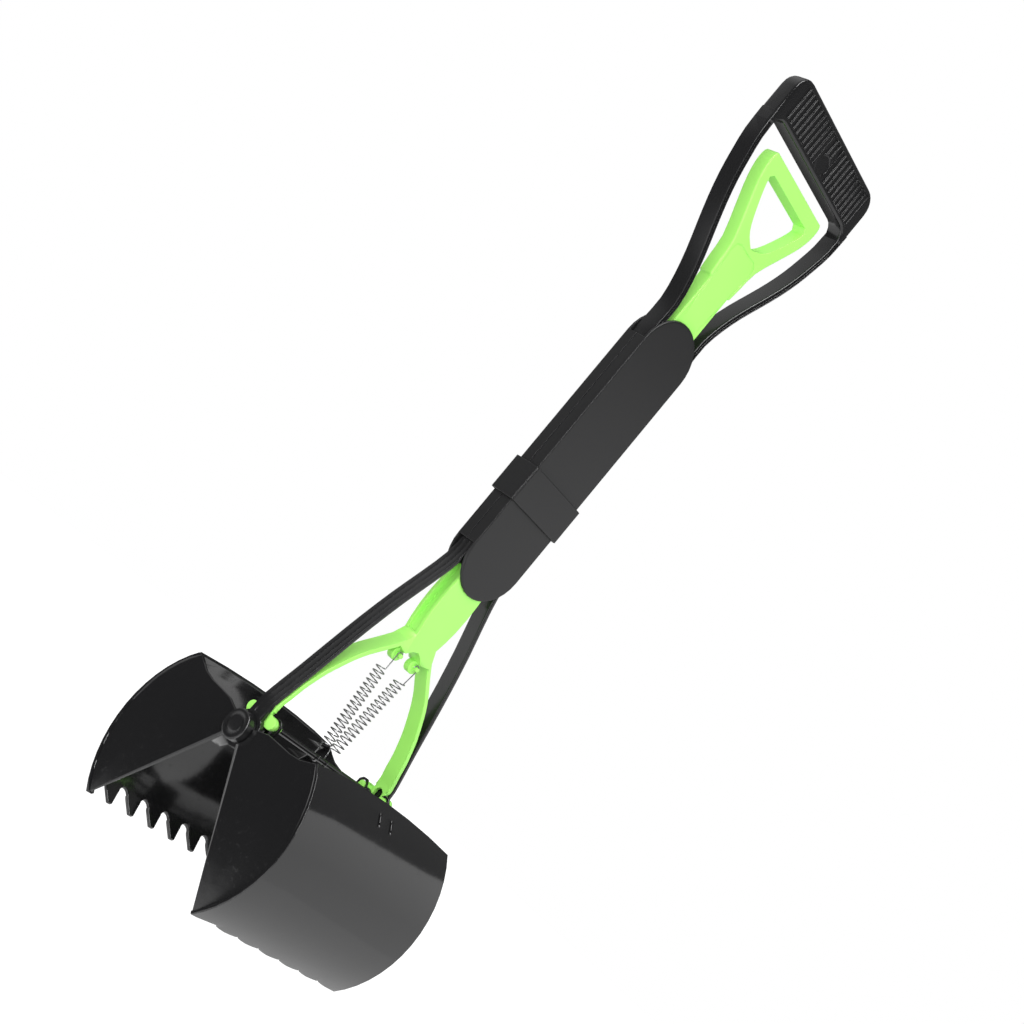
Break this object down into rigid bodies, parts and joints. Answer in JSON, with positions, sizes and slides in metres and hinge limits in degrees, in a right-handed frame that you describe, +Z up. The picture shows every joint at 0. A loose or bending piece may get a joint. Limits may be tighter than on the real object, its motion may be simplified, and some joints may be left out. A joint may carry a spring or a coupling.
{
  "type": "pooper scooper",
  "caption": "Long-handled scooper: squeezing the trigger under its D-shaped grip opens a pair of spring-closed jaws, toothed on the rear lip, below a collared sleeve.",
  "frame": {"origin": "middle of the D-handle's grip, where the hand holds the scooper up", "axes": "+Z up the handle from the jaws to the grip, X along the jaws' pivot axis, the scalloped front jaw on the -Y side and the toothed rear jaw on the +Y side"},
  "size_m": [0.1502, 0.1774, 0.6108],
  "materials": {
    "gloss_black": "gloss",
    "satin_black": "satin",
    "lime_green": "semi-gloss",
    "spring_steel": "bright"
  },
  "bodies": {
    "frame": {"handle_frame": "satin_black", "left_lower_arm": "satin_black", "right_lower_arm": "satin_black", "upper_front_cover": "satin_black", "upper_rear_cover": "satin_black", "lower_front_cover": "satin_black", "lower_rear_cover": "satin_black", "upper_cover_screw_1": "spring_steel", "upper_cover_screw_2": "spring_steel", "upper_cover_screw_3": "spring_steel", "upper_cover_screw_4": "spring_steel", "lower_cover_screw_1": "spring_steel", "lower_cover_screw_2": "spring_steel", "lower_cover_screw_3": "spring_steel", "lower_cover_screw_4": "spring_steel", "left_pivot_pin": "spring_steel", "right_pivot_pin": "spring_steel", "left_pivot_cap": "satin_black", "right_pivot_cap": "satin_black", "left_pivot_clip": "spring_steel", "right_pivot_clip": "spring_steel", "spring_bar": "satin_black", "left_spring": "spring_steel", "right_spring": "spring_steel"},
    "collar": {"collar": "satin_black"},
    "slider": {"trigger": "lime_green", "slider_rod": "lime_green", "fork": "lime_green", "trigger_pin": "spring_steel", "fork_pin": "spring_steel"},
    "front_jaw": {"front_jaw": "gloss_black"},
    "rear_jaw": {"rear_jaw": "gloss_black"}
  },
  "joints": [
    {"name": "trigger_slide", "type": "slide", "parent": "frame", "child": "slider", "axis": [0, 0, 1], "range_m": [-0.015, 0], "stiffness_N_per_m": 600, "springref_m": -0.03, "deforming": ["left_spring", "right_spring"]},
    {"name": "rear_jaw_hinge", "type": "hinge", "parent": "frame", "child": "rear_jaw", "pos_m": [0, 0, -0.504], "axis": [1, 0, 0], "range_deg": [-35.36, 0]},
    {"name": "front_jaw_hinge", "type": "hinge", "parent": "frame", "child": "front_jaw", "pos_m": [0, 0, -0.504], "axis": [1, 0, 0], "range_deg": [0, 35.36]},
    {"name": "collar_slide", "type": "slide", "parent": "frame", "child": "collar", "axis": [0, 0, 1], "range_m": [0, 0.055]}
  ],
  "couplings": [
    {"joint": "rear_jaw_hinge", "follows": "trigger_slide", "rad_per_m": 41.131},
    {"joint": "front_jaw_hinge", "follows": "trigger_slide", "rad_per_m": -41.131}
  ]
}
